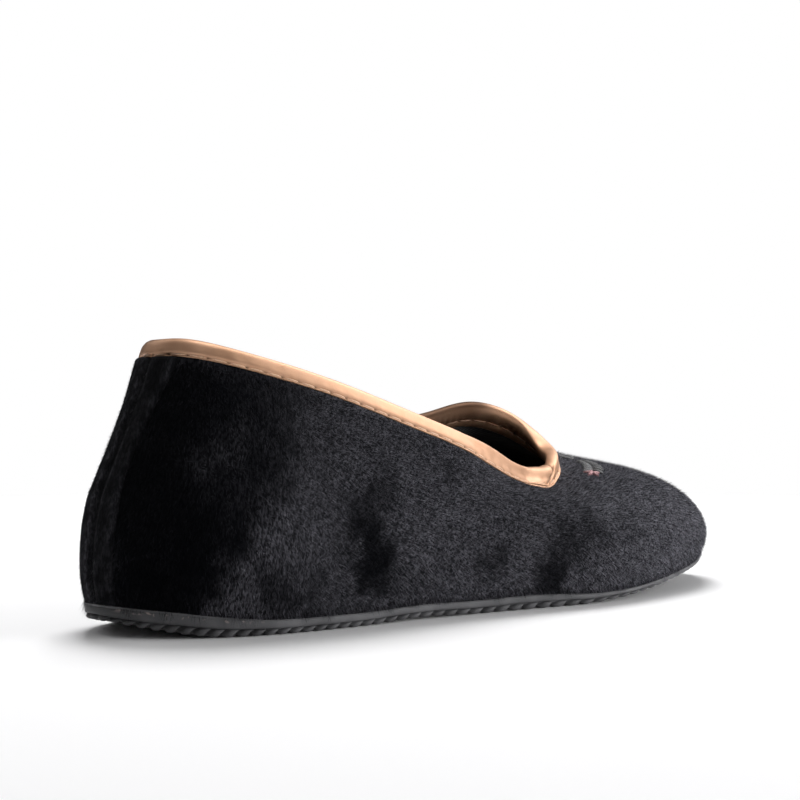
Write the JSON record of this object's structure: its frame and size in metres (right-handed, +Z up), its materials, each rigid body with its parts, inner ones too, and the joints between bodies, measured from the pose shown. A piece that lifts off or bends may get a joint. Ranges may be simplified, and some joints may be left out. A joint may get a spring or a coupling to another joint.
{
  "type": "house slipper",
  "caption": "Black velour slip-on house slipper for the right foot, with a copper bound collar, a strip over the heel seam and a thin dark rubber sole with rope-like ribs.",
  "frame": {"origin": "on the floor, under the middle of the slipper's bounding box", "axes": "+Y runs from heel to toe, +X points to the outer side of the foot, +Z is up"},
  "size_m": [0.0828, 0.243, 0.0767],
  "materials": {
    "rubber": "matte",
    "sock_cloth": "matte",
    "velour": "matte",
    "copper_binding": "satin"
  },
  "bodies": {
    "root": {"outsole": "rubber", "insole": "sock_cloth", "upper": "velour", "collar_binding": "copper_binding", "heel_backstay": "velour"}
  },
  "joints": []
}
